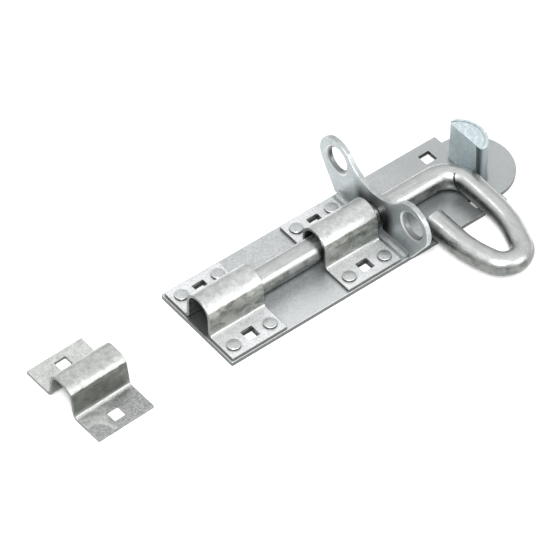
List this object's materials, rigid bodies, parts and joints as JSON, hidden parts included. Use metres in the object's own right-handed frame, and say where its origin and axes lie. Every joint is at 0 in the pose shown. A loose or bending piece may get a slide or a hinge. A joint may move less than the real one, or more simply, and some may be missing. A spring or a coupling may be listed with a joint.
{
  "type": "padlocking barrel bolt",
  "caption": "Heavy galvanised padbolt: a round bar with a hairpin handle slides and turns under riveted saddles on a backplate with padlock ears and a stop post; separate keep.",
  "frame": {"origin": "centre of the rectangular backplate's rear face", "axes": "+X the way the bar is thrown, +Y the side where the handle lies at rest, +Z out from the mounting surface"},
  "size_m": [0.3334, 0.1397, 0.0452],
  "materials": {
    "galvanised_plate": "hot-dip galvanised, faint spangle",
    "galvanised_saddle": "hot-dip galvanised, bright crown, mottled sides",
    "galvanised_ears": "hot-dip galvanised, worn bright rim",
    "galvanised_weld": "hot-dip galvanised weld bead",
    "zinc_post": "bright zinc, scratched top",
    "galvanised_rivet": "hot-dip galvanised, hammered",
    "galvanised_bar": "hot-dip galvanised, drawn bar",
    "galvanised_keep": "hot-dip galvanised, patchy grey"
  },
  "bodies": {
    "plate": {"backplate": "galvanised_plate", "front_saddle": "galvanised_saddle", "rear_saddle": "galvanised_saddle", "ear_plate": "galvanised_ears", "ear_weld": "galvanised_weld", "stop_post": "zinc_post", "rivet_front_nose_left": "galvanised_rivet", "rivet_front_nose_right": "galvanised_rivet", "rivet_front_tail_left": "galvanised_rivet", "rivet_front_tail_right": "galvanised_rivet", "rivet_rear_nose_left": "galvanised_rivet", "rivet_rear_nose_right": "galvanised_rivet", "rivet_rear_tail_left": "galvanised_rivet", "rivet_rear_tail_right": "galvanised_rivet"},
    "bar": {"bolt_bar": "galvanised_bar"},
    "handle": {"bolt_handle": "galvanised_bar"},
    "keep": {"keep": "galvanised_keep"}
  },
  "joints": [
    {"name": "bolt_slide", "type": "slide", "parent": "plate", "child": "bar", "axis": [1, 0, 0], "range_m": [-0.0005, 0.012]},
    {"name": "handle_turn", "type": "hinge", "parent": "bar", "child": "handle", "pos_m": [-0.0023, 0, 0.012], "axis": [1, 0, 0], "range_deg": [0, 180]},
    {"name": "keep_set", "type": "slide", "parent": "plate", "child": "keep", "axis": [1, 0, 0], "range_m": [-0.05, 0]}
  ]
}
